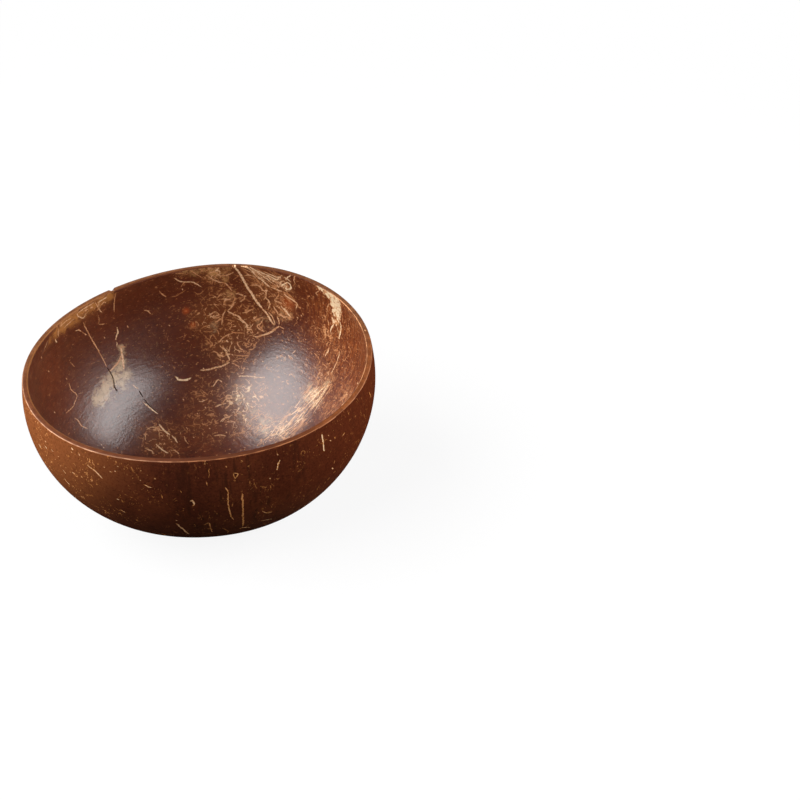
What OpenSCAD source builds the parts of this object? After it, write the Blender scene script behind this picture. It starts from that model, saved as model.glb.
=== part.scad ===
// Snack bowl made from half a coconut shell, hollowed, sanded and oiled.
// It is one natural piece: a three-lobed oval nut, sawn level above its widest line,
// with a thin wall, an eased lip and a flat foot sanded on its round end.
// Lengths are in millimetres and angles in degrees. The foot's centre is the origin.

/* [Nut] */
// Mean outside radius of the nut at its widest level
nut_r = 62; // [45:0.5:80]
// How far the round end lies below the widest level, before the foot is sanded
nut_depth = 60.5; // [45:0.5:80]
// How far the oval's long half-axis stands out past the mean radius
oval_gain = 4; // [0:0.1:8]
// Direction of the oval's long axis, turned from +X towards +Y
oval_turn = 8; // [0:1:180]
// How far the nut's three lobes stand out past the oval
lobe_gain = 1; // [0:0.1:2]
// Direction of the first lobe, turned from +X towards +Y
lobe_turn = 71; // [0:1:120]

/* [Cuts] */
// Height of the sawn rim above the widest level
rim_rise = 11.4; // [0:0.1:25]
// Mean radius of the flat foot sanded on the round end
foot_r = 18; // [8:0.5:35]

/* [Wall] */
// Thickness of the wall at the rim
rim_wall = 2.3; // [1.6:0.1:6]
// Thickness of the floor above the foot
floor_t = 6; // [1:0.1:12]

/* [Lip] */
// Height over which the rim's two edges are eased
lip_h = 0.9; // [0.3:0.1:2]
// How square the eased lip is: 2 is half an ellipse, more is flatter on top
lip_square = 2.6; // [2:0.1:5]

/* [Hidden] */
shell_brown = [0.36, 0.17, 0.09];
segments = 72;
wall_rings = 17;
lip_steps = 8;

// Slice of the round end that the sanding of the foot takes away
foot_cut = nut_depth * (1 - sqrt(1 - pow(foot_r / nut_r, 2)));
// Levels above the foot
wide_z = nut_depth - foot_cut;
rim_z = wide_z + rim_rise;
lip_z = rim_z - lip_h;
// Depth of the hollow below the widest level
hollow_depth = wide_z - floor_t;
// Half of the slice stays on the loft below the foot, for the sanding cut to take
spare_z = -foot_cut / 2;

// Share of the plan's radius that an ellipse of this depth has at a height
function share(z, depth) = sqrt(1 - pow((z - wide_z) / depth, 2));
// Angle at the ellipse's centre, from its lowest point up to a height
function polar(z, depth) = acos((wide_z - z) / depth);

// Plan radius at the widest level, outside and inside, in a direction
function outer_plan(a) =
    nut_r + oval_gain * cos(2 * (a - oval_turn)) + lobe_gain * cos(3 * (a - lobe_turn));
function inner_plan(a) =
    (outer_plan(a) * share(rim_z, nut_depth) - rim_wall) / share(rim_z, hollow_depth);

// Radius of each face of the wall in a direction, at a height
function outer_r(a, z) = outer_plan(a) * share(z, nut_depth);
function inner_r(a, z) = inner_plan(a) * share(z, hollow_depth);

// A share of -1 to 1 pushed outwards, which squares the lip's half ellipse
function squared(s) = sign(s) * pow(abs(s), 2 / lip_square);

// Radius and height of the lip in a direction, at a turn from 0 outside to 180 inside
function lip_point(a, turn) =
    let (
        z = lip_z + lip_h * squared(sin(turn)),
        middle = (outer_r(a, z) + inner_r(a, z)) / 2,
        half = (outer_r(a, z) - inner_r(a, z)) / 2
    )
    [middle + half * squared(cos(turn)), z];

// Heights of the rings up the outside and down the inside, at even steps of the polar angle
outer_low = polar(spare_z, nut_depth);
outer_step = (polar(lip_z, nut_depth) - outer_low) / wall_rings;
outer_heights = [for (k = [0 : wall_rings]) wide_z - nut_depth * cos(outer_low + k * outer_step)];
inner_step = polar(lip_z, hollow_depth) / wall_rings;
inner_heights = [for (k = [wall_rings : -1 : 1]) wide_z - hollow_depth * cos(k * inner_step)];

// The wall's section in one direction, from below the foot, over the lip, to the hollow's floor
function section(a) = concat(
    [for (z = outer_heights) [outer_r(a, z), z]],
    [for (k = [1 : lip_steps - 1]) lip_point(a, 180 * k / lip_steps)],
    [for (z = inner_heights) [inner_r(a, z), z]]
);

// Sections swept round the axis, closed by a fan below the foot and one on the hollow's floor
module nut_half() {
    directions = [for (i = [0 : segments - 1]) 360 * i / segments];
    sections = [for (a = directions) section(a)];
    rings = len(sections[0]);
    around = [
        for (i = [0 : segments - 1])
            for (p = sections[i])
                [p[0] * cos(directions[i]), p[0] * sin(directions[i]), p[1]]
    ];
    low = len(around);
    high = low + 1;
    sides = [
        for (i = [0 : segments - 1])
            for (k = [0 : rings - 2])
                let (here = i * rings + k, next = ((i + 1) % segments) * rings + k)
                each [[here, here + 1, next + 1], [here, next + 1, next]]
    ];
    ends = [
        for (i = [0 : segments - 1])
            let (here = i * rings, next = ((i + 1) % segments) * rings)
            each [[here, next, low], [next + rings - 1, here + rings - 1, high]]
    ];
    polyhedron(points = concat(around, [[0, 0, spare_z], [0, 0, floor_t]]), faces = concat(sides, ends));
}

// The bowl: the hollowed half nut, sanded flat at the foot
module shell() {
    color(shell_brown)
    difference() {
        nut_half();
        translate([-nut_r, -nut_r, -nut_depth])
        cube([2 * nut_r, 2 * nut_r, nut_depth]);
    }
}

shell();
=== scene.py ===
# %% [markdown]
# # A snack bowl cut from half a coconut shell
# The bowl is one natural piece: half a nut, hollowed, sanded and oiled. The solid model already has its
# true size and form, so this lesson is about its looks: a smooth mesh, the chipped rim, the pale strands
# that run through the shell, and three finishes: oiled inside, dry outside and sawn on the lip. Blender's
# unit is the metre, so MM turns a length in millimetres into metres.

# %% Load the solid model
import math
import random

import bmesh
import bpy
import numpy as np
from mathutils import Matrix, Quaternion, Vector
from mathutils.bvhtree import BVHTree
from mathutils.geometry import interpolate_bezier
from mathutils.kdtree import KDTree


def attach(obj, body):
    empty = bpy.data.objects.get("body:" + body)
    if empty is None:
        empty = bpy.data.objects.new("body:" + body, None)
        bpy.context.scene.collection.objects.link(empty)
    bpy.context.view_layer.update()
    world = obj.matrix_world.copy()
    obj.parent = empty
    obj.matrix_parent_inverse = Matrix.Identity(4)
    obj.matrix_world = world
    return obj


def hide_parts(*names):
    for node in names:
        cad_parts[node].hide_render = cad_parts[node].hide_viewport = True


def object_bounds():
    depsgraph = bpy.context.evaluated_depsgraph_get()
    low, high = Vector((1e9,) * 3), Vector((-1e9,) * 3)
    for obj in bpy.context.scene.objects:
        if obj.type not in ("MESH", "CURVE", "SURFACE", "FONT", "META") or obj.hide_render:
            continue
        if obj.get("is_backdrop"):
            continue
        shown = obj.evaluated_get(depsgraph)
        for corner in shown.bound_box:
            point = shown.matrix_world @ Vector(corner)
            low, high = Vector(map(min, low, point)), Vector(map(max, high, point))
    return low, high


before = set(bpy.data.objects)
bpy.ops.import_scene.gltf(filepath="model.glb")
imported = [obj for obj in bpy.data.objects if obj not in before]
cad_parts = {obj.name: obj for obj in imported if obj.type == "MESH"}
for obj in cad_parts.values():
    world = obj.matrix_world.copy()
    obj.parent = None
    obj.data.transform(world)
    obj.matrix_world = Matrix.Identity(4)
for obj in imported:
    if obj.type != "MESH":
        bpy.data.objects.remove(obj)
cad_low, cad_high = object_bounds()
MM = 0.001


def in_mm(lengths):
    return [round(x / MM, 2) for x in lengths]


print("solid model's box in mm:", in_mm((*cad_low, *cad_high)))

# %% [markdown]
# ## The camera
# The picture was taken from above the horizon with a long lens, and the bowl stands left of its middle. A
# shifted lens could put it there, but a shift stays on in every other view, so the camera is turned to
# the right instead. A turned camera also makes a level rim look a little tilted, as it does in the
# picture.

# %% Place the camera
RIM_RISE = 11.4 * MM
CAMERA_DISTANCE = 600 * MM
CAMERA_ABOVE = math.radians(40)
CAMERA_PAN = math.radians(9.2525)
CAMERA_TILT = math.radians(41.0973)
PICTURE_SIDE = 800
LENS = 71.23
middle = Vector((0, 0, cad_high.z - RIM_RISE))
stand = middle + CAMERA_DISTANCE * Vector((0, -math.cos(CAMERA_ABOVE), math.sin(CAMERA_ABOVE)))
bpy.ops.object.camera_add(location=stand, rotation=(math.pi / 2 - CAMERA_TILT, 0, -CAMERA_PAN))
camera = bpy.context.object
camera.data.lens = LENS
bpy.context.scene.camera = camera
bpy.context.view_layer.update()
print("camera stands at", in_mm(stand), "mm")

# %% [markdown]
# ## Finishes as recipes
# A material is a tree of nodes. Building one by hand in the shader editor is a chain of add, type and
# drag, and the same chain in code gets long, so this small class has one short method for each kind of
# node that the finishes need. Each method returns the socket that carries its result.

# %% A recipe builds a material's nodes
RELIEF_DEPTH = 0.1 * MM


class Recipe:
    def __init__(self, tree):
        self.tree = tree
        tree.nodes.clear()

    def node(self, kind, inputs=(), **settings):
        """A new node. Each input is a number, a colour or another node's socket."""
        made = self.tree.nodes.new("ShaderNode" + kind)
        for name, value in settings.items():
            setattr(made, name, value)
        for name, value in dict(inputs).items():
            if isinstance(value, bpy.types.NodeSocket):
                self.tree.links.new(value, made.inputs[name])
            else:
                made.inputs[name].default_value = value
        return made

    def math(self, operation, first, *others):
        """A number worked out from one, from two, or step by step from more."""
        for other in others or (0.0,):
            first = self.node("Math", {0: first, 1: other}, operation=operation).outputs[0]
        return first

    def times(self, *numbers):
        return self.math("MULTIPLY", *numbers)

    def largest(self, *numbers):
        return self.math("MAXIMUM", *numbers)

    def fit(self, value, low, high, to_low=0.0, to_high=1.0):
        """A number that goes smoothly from one limit to the other while a value goes from low to high."""
        sockets = {"Value": value, "From Min": low, "From Max": high, "To Min": to_low, "To Max": to_high}
        return self.node("MapRange", sockets, interpolation_type="SMOOTHSTEP").outputs[0]

    def blend(self, share, first, second):
        return self.node("Mix", {0: share, 6: first, 7: second}, data_type="RGBA").outputs[2]

    def painted(self, ground, *coats):
        """A ground under coats of paint. A coat is a value, its low and high limit, the share that the coat
        covers where the value is high, and the colour. Where the value is low, the ground shows."""
        for value, low, high, share, paint in coats:
            ground = self.blend(self.fit(value, low, high, 0.0, share), ground, paint)
        return ground

    def place(self):
        return self.node("TexCoord").outputs["Object"]

    def parts(self, vector):
        return self.node("SeparateXYZ", {0: vector}).outputs

    def strength(self, name):
        """The one number that the mesh stores at each point under a name."""
        return self.node("Attribute", attribute_name=name).outputs["Fac"]

    def stored(self, name):
        """The three numbers that the mesh stores at each point under a name."""
        return self.parts(self.node("Attribute", attribute_name=name).outputs["Vector"])

    def noise(self, place, size, detail=2.0, rough=0.5, warp=0.0):
        """A cloudy pattern with spots of a size, in metres, finer with more detail and busier if rough."""
        form = {"Scale": 1 / size, "Detail": detail, "Roughness": rough, "Distortion": warp}
        return self.node("TexNoise", {"Vector": place, **form}).outputs["Fac"]

    def swing(self, place, size, detail, rough=0.5, warp=0.0):
        """A noise that swings about zero."""
        return self.math("SUBTRACT", self.noise(place, size, detail, rough, warp), 0.5)

    def stretched(self, place, longer, turn=(0.0, 0.0, 0.0)):
        """Coordinates in which a pattern comes out longer along its own axes, and turned."""
        sockets = {"Vector": place, "Scale": longer, "Rotation": turn}
        return self.node("Mapping", sockets, vector_type="TEXTURE").outputs[0]

    def relief(self, height, strength):
        sockets = {"Strength": strength, "Distance": RELIEF_DEPTH, "Height": height}
        return self.node("Bump", sockets).outputs[0]

    def surface(self, sockets):
        shader = self.node("BsdfPrincipled", sockets).outputs[0]
        self.node("OutputMaterial", {"Surface": shader})


def colour(red, green, blue):
    """A colour given as a screen shows it, 0 to 255, as the linear light that a shader wants."""
    shown = (red / 255, green / 255, blue / 255)
    return (*(((c + 0.055) / 1.055) ** 2.4 if c > 0.04045 else c / 12.92 for c in shown), 1.0)


def new_material(name):
    material = bpy.data.materials.new(name)
    material.use_nodes = True
    return material, Recipe(material.node_tree)


print("recipe ready; a mid brown is", [round(c, 3) for c in colour(140, 80, 45)])

# %% [markdown]
# ## Floor, sky and lamps
# The bowl stands on a plain white floor. To the camera, and in reflections, the floor shows white with
# the bowl's soft shadow in it: near the bowl some of the white is its own glow and the rest is lamp
# light, which the shadow takes away, and further off it is all glow. To light that has bounced off the
# bowl the floor is a plain dark grey, so that the underside stays dark. The sky is dim, as in a studio
# with dark walls, and shows pale at the horizon. Two softboxes make the two highlights inside the bowl.

# %% Lay the floor
FLOOR_RADIUS = 40
FLOOR_DROP = 0.03 * MM
bpy.ops.mesh.primitive_circle_add(
    vertices=64, radius=FLOOR_RADIUS, fill_type="NGON", location=(0, 0, -FLOOR_DROP)
)
floor = bpy.context.object
floor.name = "floor"
floor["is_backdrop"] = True
print("floor laid", FLOOR_DROP / MM, "mm under the foot")

# %% Make it white
FLOOR_GLOW = 0.87
SHADOW_FADES = 150 * MM
SHADOW_ENDS = 450 * MM
WHITE = (1, 1, 1, 1)
LAMPLIT_GREY = colour(96, 96, 96)
BOUNCED_GREY = colour(54, 52, 50)


def seen_directly(recipe):
    """1 for rays from the camera, from reflections and through glass, 0 for bounced light."""
    ray = recipe.node("LightPath").outputs
    return recipe.largest(ray["Is Camera Ray"], ray["Is Glossy Ray"], ray["Is Transmission Ray"])


sweep, recipe = new_material("white_sweep")
glow = recipe.node("Emission", {"Color": WHITE, "Strength": FLOOR_GLOW})
lit = recipe.node("BsdfDiffuse", {"Color": LAMPLIT_GREY})
near = recipe.node("AddShader", {0: glow.outputs[0], 1: lit.outputs[0]})
white = recipe.node("Emission", {"Color": WHITE, "Strength": 1.0})
away = recipe.node("VectorMath", {0: recipe.place()}, operation="LENGTH").outputs["Value"]
far = recipe.fit(away, SHADOW_FADES, SHADOW_ENDS)
shown = recipe.node("MixShader", {0: far, 1: near.outputs[0], 2: white.outputs[0]})
grey = recipe.node("BsdfDiffuse", {"Color": BOUNCED_GREY})
chosen = recipe.node("MixShader", {0: seen_directly(recipe), 1: grey.outputs[0], 2: shown.outputs[0]})
recipe.node("OutputMaterial", {"Surface": chosen.outputs[0]})
floor.data.materials.append(sweep)
print("white floor: the shadow ends", round(SHADOW_ENDS / MM), "mm from the middle")

# %% Set the sky
SKY_HORIZON = 1.0
SKY_ABOVE = 0.06
HORIZON_FADES = 0.05
HORIZON_ENDS = 0.3
world = bpy.data.worlds.new("studio_sky")
world.use_nodes = True
bpy.context.scene.world = world
recipe = Recipe(world.node_tree)
up = recipe.parts(recipe.node("TexCoord").outputs["Generated"])["Z"]
horizon = recipe.fit(up, HORIZON_FADES, HORIZON_ENDS, SKY_HORIZON, SKY_ABOVE)
level = recipe.fit(seen_directly(recipe), 0.0, 1.0, SKY_ABOVE, horizon)
sky = recipe.node("Background", {"Color": WHITE, "Strength": level})
recipe.node("OutputWorld", {"Surface": sky.outputs[0]})
print("sky of", SKY_ABOVE, "with a pale horizon")

# %% Hang two softboxes
SOFTBOX_DISTANCE = 900 * MM
SOFTBOXES = [
    ("left_softbox", (-0.77, -0.09, 0.63), 1100 * MM, 1080 * MM, 18.5),
    ("right_softbox", (0.92, -0.16, 0.32), 1000 * MM, 800 * MM, 12.5),
]
for name, direction, wide, high, watts in SOFTBOXES:
    towards = Vector(direction).normalized()
    bpy.ops.object.light_add(type="AREA", location=middle + SOFTBOX_DISTANCE * towards)
    lamp = bpy.context.object
    lamp.name = name
    lamp.rotation_euler = towards.to_track_quat("Z", "Y").to_euler()
    lamp.data.shape = "RECTANGLE"
    lamp.data.size = wide
    lamp.data.size_y = high
    lamp.data.energy = watts
    lamp.visible_camera = False
    print(name, "of", watts, "watts")
bpy.context.scene.view_settings.view_transform = "Standard"

# %% [markdown]
# ## A smooth mould
# The solid's mesh has flat facets. A polished wall would show each of them, so the new shell is drawn
# onto a smooth mould. The mould is a copy of the solid: its loose triangles are merged and paired into
# quads, the foot's edge is creased, and a Subdivision Surface rounds the rest.

# %% Make the mould
TOUCH = 0.002 * MM


def activate(piece):
    bpy.ops.object.select_all(action="DESELECT")
    piece.select_set(True)
    bpy.context.view_layer.objects.active = piece


def apply_modifier(piece, kind, **settings):
    activate(piece)
    bpy.ops.object.modifier_add(type=kind)
    modifier = piece.modifiers[-1]
    for name, value in settings.items():
        setattr(modifier, name, value)
    bpy.ops.object.modifier_apply(modifier=modifier.name)


def select(piece, kind, test):
    """Selects the edges or the faces that pass a test, in edit mode."""
    bpy.ops.mesh.select_mode(type=kind)
    bpy.ops.mesh.select_all(action="DESELECT")
    mesh = bmesh.from_edit_mesh(piece.data)
    for item in mesh.edges if kind == "EDGE" else mesh.faces:
        item.select_set(test(item))
    bmesh.update_edit_mesh(piece.data)


def on_foot(face):
    return all(abs(v.co.z) < TOUCH for v in face.verts)


activate(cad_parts["shell"])
bpy.ops.object.duplicate()
mould = bpy.context.object
mould.name = "mould"
bpy.ops.object.mode_set(mode="EDIT")
bpy.ops.mesh.select_all(action="SELECT")
bpy.ops.mesh.remove_doubles(threshold=TOUCH)
bpy.ops.mesh.tris_convert_to_quads()
select(mould, "EDGE", lambda edge: sum(on_foot(face) for face in edge.link_faces) == 1)
bpy.ops.transform.edge_crease(value=1)
bpy.ops.object.mode_set(mode="OBJECT")
apply_modifier(mould, "SUBSURF", levels=3, render_levels=3)
print("mould:", len(mould.data.polygons), "faces")

# %% [markdown]
# ## The shell
# The wall is two oval bowls, one inside the other, joined over the lip. Each starts as a UV sphere
# stretched to the oval: the outer one a little too large, the inner one a little too small, so that each
# lies nearest to its own side of the mould. Both are cut open at the lip, the inner one a hair lower,
# which tells the bridge which way round to join them. Then a Shrinkwrap draws every point onto the mould.
# Last, a level cut and a small bevel make the foot.

# %% Two spheres, cut open at the lip
NUT_RADIUS = 62 * MM
OVAL_GAIN = 4 * MM
OVAL_TURN = math.radians(8)
NUT_DEPTH = 60.5 * MM
FLOOR_THICKNESS = 6 * MM
WALL = 2.2 * MM
SPARE = 1.4 * MM
LOWER = 0.02 * MM
SEGMENTS = 288
RINGS = 150
LIP_RINGS = [depth * MM for depth in (1.5, 1.0, 0.6, 0.3)]


def open_sphere(name, inset, depth, top):
    """A sphere stretched to the nut's oval, with close rings at the lip, and cut open there."""
    bpy.ops.object.select_all(action="DESELECT")
    stretch = (NUT_RADIUS + OVAL_GAIN - inset, NUT_RADIUS - OVAL_GAIN - inset, depth)
    turn = (0, 0, OVAL_TURN)
    bpy.ops.mesh.primitive_uv_sphere_add(
        segments=SEGMENTS, ring_count=RINGS, radius=1, location=middle, rotation=turn, scale=stretch
    )
    bpy.ops.object.transform_apply()
    bowl = bpy.context.object
    bowl.name = name
    bpy.ops.object.mode_set(mode="EDIT")
    for below in LIP_RINGS:
        bpy.ops.mesh.select_all(action="SELECT")
        bpy.ops.mesh.bisect(plane_co=(0, 0, cad_high.z - below), plane_no=(0, 0, 1))
    bpy.ops.mesh.select_all(action="SELECT")
    bpy.ops.mesh.bisect(plane_co=(0, 0, top), plane_no=(0, 0, 1), clear_outer=True)
    bpy.ops.object.mode_set(mode="OBJECT")
    print(name, len(bowl.data.polygons), "faces")
    return bowl


outer_half = open_sphere("shell_body", -SPARE, NUT_DEPTH + SPARE, cad_high.z)
inner_half = open_sphere("hollow", WALL + SPARE, middle.z - FLOOR_THICKNESS - SPARE, cad_high.z - LOWER)

# %% Join them over the lip and draw the wall onto the mould
LIP_CUTS = 24
activate(outer_half)
inner_half.select_set(True)
bpy.ops.object.join()
shell_body = bpy.context.object
bpy.ops.object.mode_set(mode="EDIT")
select(shell_body, "EDGE", lambda edge: edge.is_boundary)
bpy.ops.mesh.bridge_edge_loops(number_cuts=LIP_CUTS, interpolation="LINEAR")
bpy.ops.mesh.select_all(action="SELECT")
bpy.ops.mesh.normals_make_consistent(inside=False)
bpy.ops.object.mode_set(mode="OBJECT")
apply_modifier(shell_body, "SHRINKWRAP", target=mould, wrap_method="NEAREST_SURFACEPOINT")
print("shell:", len(shell_body.data.polygons), "faces")

# %% Sand the foot flat
FOOT_TRIM = 0.01 * MM
FOOT_EASE = 0.35 * MM
MERGE = 0.02 * MM
activate(shell_body)
bpy.ops.object.mode_set(mode="EDIT")
bpy.ops.mesh.select_all(action="SELECT")
bpy.ops.mesh.bisect(plane_co=(0, 0, FOOT_TRIM), plane_no=(0, 0, 1), clear_inner=True, use_fill=True)
select(shell_body, "EDGE", lambda edge: all(abs(v.co.z - FOOT_TRIM) < TOUCH for v in edge.verts))
bpy.ops.mesh.bevel(offset=FOOT_EASE, segments=3, affect="EDGES")
bpy.ops.mesh.select_all(action="SELECT")
bpy.ops.mesh.remove_doubles(threshold=MERGE)
bpy.ops.object.mode_set(mode="OBJECT")
bpy.data.objects.remove(mould)
print("foot sanded:", len(shell_body.data.polygons), "faces")

# %% [markdown]
# ## From the picture to the wall
# Each strand and stain of this nut has its own place, so they are noted as pixels of the picture and
# carried onto the wall: a ray from the camera through the pixel meets the shell where the eye saw the
# mark. What is found lies on the wall itself, so it looks right from every side.

# %% Find the place behind a pixel
PICTURE_SCALE = LENS / camera.data.sensor_width * PICTURE_SIDE
BOTTOM_PIXEL = (200, 400)


def wall_of(piece):
    """The piece's triangles, sorted so that a ray or the nearest place is found fast."""
    piece.data.calc_loop_triangles()
    corners = [v.co.copy() for v in piece.data.vertices]
    return BVHTree.FromPolygons(corners, [tuple(t.vertices) for t in piece.data.loop_triangles])


def spot(pixel):
    """The first place on the shell behind a pixel, and the way its wall faces there."""
    across = (pixel[0] - PICTURE_SIDE / 2) / PICTURE_SCALE
    above = (PICTURE_SIDE / 2 - pixel[1]) / PICTURE_SCALE
    sight = camera.matrix_world.to_3x3() @ Vector((across, above, -1))
    place, facing, _, _ = wall.ray_cast(stand, sight.normalized())
    if place is None:
        raise ValueError(f"pixel {pixel} misses the shell")
    return place, facing


wall = wall_of(shell_body)
print("the inner floor lies at", in_mm(spot(BOTTOM_PIXEL)[0]), "mm")

# %% [markdown]
# ## The chipped rim
# A small chip is missing from the outer edge of the rim. A rough lump, made by shaking the points of an
# icosphere, is taken out of the lip with a Boolean.

# %% Chip the rim
CHIP_PIXEL = (112, 289)
CHIP_OUT = 0.35 * MM
CHIP_SIZE = (1.6 * MM, 1.3 * MM, 1.6 * MM)
CHIP_ROUGH = 0.12
rim_spot, _ = spot(CHIP_PIXEL)
outwards = Vector((rim_spot.x, rim_spot.y, 0)).normalized()
chip_place = rim_spot + CHIP_OUT * outwards
chip_place.z = cad_high.z
bpy.ops.object.select_all(action="DESELECT")
bpy.ops.mesh.primitive_ico_sphere_add(subdivisions=3, radius=1)
chip = bpy.context.object
bpy.ops.object.mode_set(mode="EDIT")
bpy.ops.transform.vertex_random(offset=CHIP_ROUGH, seed=4)
bpy.ops.object.mode_set(mode="OBJECT")
chip.location = chip_place
chip.scale = CHIP_SIZE
chip.rotation_euler.z = math.atan2(outwards.y, outwards.x)
bpy.context.view_layer.update()
apply_modifier(shell_body, "BOOLEAN", object=chip, operation="DIFFERENCE", solver="EXACT")
bpy.data.objects.remove(chip)
wall = wall_of(shell_body)
print("chip at", in_mm(chip_place), "mm")

# %% [markdown]
# ## The strands
# Pale fibres of the husk are grown into the shell and show as strands where it is sanded. They lie flush
# in the wall, so they are colour and not relief. Each row holds a strand's width in millimetres, its
# paleness from 0 to 1, and the pixels along its course.

# %% Strands inside, on the left and at the back
LEFT_STRANDS = [
    (0.50, 0.70, (95, 302), (97, 305), (99, 309), (102, 313)),
    (0.40, 0.65, (99, 300), (99, 305), (98, 308)),
    (0.40, 0.55, (116, 292), (115, 297), (114, 305), (114, 313)),
    (0.40, 0.52, (98, 315), (99, 320), (99, 324), (105, 324)),
    (0.40, 0.50, (92, 304), (92, 309)),
    (0.50, 0.70, (77, 313), (78, 316), (83, 318), (86, 313)),
    (0.45, 0.55, (83, 322), (90, 336), (98, 350), (103, 359), (107, 367)),
    (0.55, 0.65, (75, 331), (79, 330), (81, 331)),
    (0.35, 0.45, (81, 331), (85, 334), (89, 336)),
    (0.60, 0.75, (117, 327), (118, 332), (116, 337), (116, 340)),
    (0.55, 0.70, (117, 342), (117, 347)),
    (0.90, 0.70, (121, 347), (122, 355), (123, 362), (124, 369)),
    (0.80, 0.60, (121, 355), (119, 361), (114, 367), (109, 372)),
    (0.45, 0.50, (120, 347), (126, 347)),
    (0.45, 0.65, (59, 328), (58, 333), (59, 337)),
    (0.35, 0.40, (64, 333), (61, 335)),
    (0.35, 0.40, (111, 317), (115, 318)),
    (0.45, 0.55, (69, 383), (71, 389), (76, 394), (77, 397), (75, 402), (72, 408), (66, 413)),
    (0.40, 0.40, (78, 394), (84, 392)),
    (0.40, 0.40, (70, 362), (75, 367)),
    (0.40, 0.40, (91, 364), (95, 362)),
    (0.60, 0.75, (55, 339), (57, 343)),
    (0.45, 0.65, (44, 350), (46, 345), (48, 340)),
    (0.35, 0.45, (30, 374), (32, 379)),
    (0.50, 0.60, (74, 418), (79, 421), (80, 424), (84, 427), (88, 429)),
    (0.40, 0.45, (68, 435), (70, 432)),
    (0.40, 0.45, (49, 397), (50, 393)),
    (0.55, 0.70, (78, 313), (85, 308), (94, 303)),
    (0.60, 0.80, (97, 303), (102, 300), (107, 297)),
    (0.50, 0.70, (101, 305), (104, 302), (106, 303)),
    (0.45, 0.70, (60, 327), (65, 322), (71, 318)),
    (0.45, 0.70, (64, 328), (68, 324), (74, 319)),
]
BACK_STRANDS = [
    (0.60, 0.70, (174, 278), (179, 281), (185, 282), (192, 282), (197, 284), (201, 287)),
    (0.48, 0.55, (184, 282), (181, 287)),
    (0.54, 0.55, (159, 291), (162, 294), (166, 297)),
    (0.42, 0.40, (170, 297), (176, 296), (181, 293), (186, 290)),
    (0.48, 0.45, (194, 292), (198, 294), (201, 293), (205, 290)),
    (0.54, 0.55, (144, 310), (148, 311), (151, 314)),
    (0.42, 0.40, (169, 309), (172, 306), (175, 306)),
    (0.80, 0.42, (185, 311), (187, 311)),
    (0.80, 0.42, (192, 325), (194, 325)),
    (0.48, 0.45, (185, 333), (184, 338)),
    (0.48, 0.50, (209, 296), (212, 295), (216, 297), (217, 299)),
    (0.48, 0.50, (217, 299), (219, 296), (221, 293)),
    (0.54, 0.55, (216, 300), (224, 299), (231, 300)),
    (0.48, 0.50, (206, 302), (208, 306)),
    (0.48, 0.45, (204, 309), (204, 312), (206, 316)),
    (0.54, 0.55, (209, 314), (212, 317), (216, 318), (221, 316)),
    (0.48, 0.50, (211, 323), (215, 325), (217, 328)),
    (0.48, 0.45, (200, 329), (206, 326), (211, 325)),
    (0.48, 0.45, (203, 331), (208, 332), (213, 331)),
    (0.48, 0.50, (210, 340), (211, 336), (213, 335), (217, 340)),
    (0.66, 0.60, (206, 275), (212, 279), (219, 282), (225, 283), (229, 287), (232, 291)),
    (0.54, 0.50, (175, 273), (185, 274)),
    (0.54, 0.55, (190, 270), (196, 274), (202, 278)),
    (0.60, 0.60, (207, 275), (212, 272), (216, 272), (218, 275), (222, 276), (228, 275), (234, 272)),
    (0.50, 0.55, (211, 275), (215, 277), (218, 279)),
    (0.50, 0.55, (221, 280), (224, 279), (225, 277)),
    (0.50, 0.50, (206, 272), (209, 269), (214, 269), (220, 268)),
    (0.45, 0.50, (213, 274), (214, 271)),
]
print(len(LEFT_STRANDS) + len(BACK_STRANDS), "strands on the left and at the back")

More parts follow.
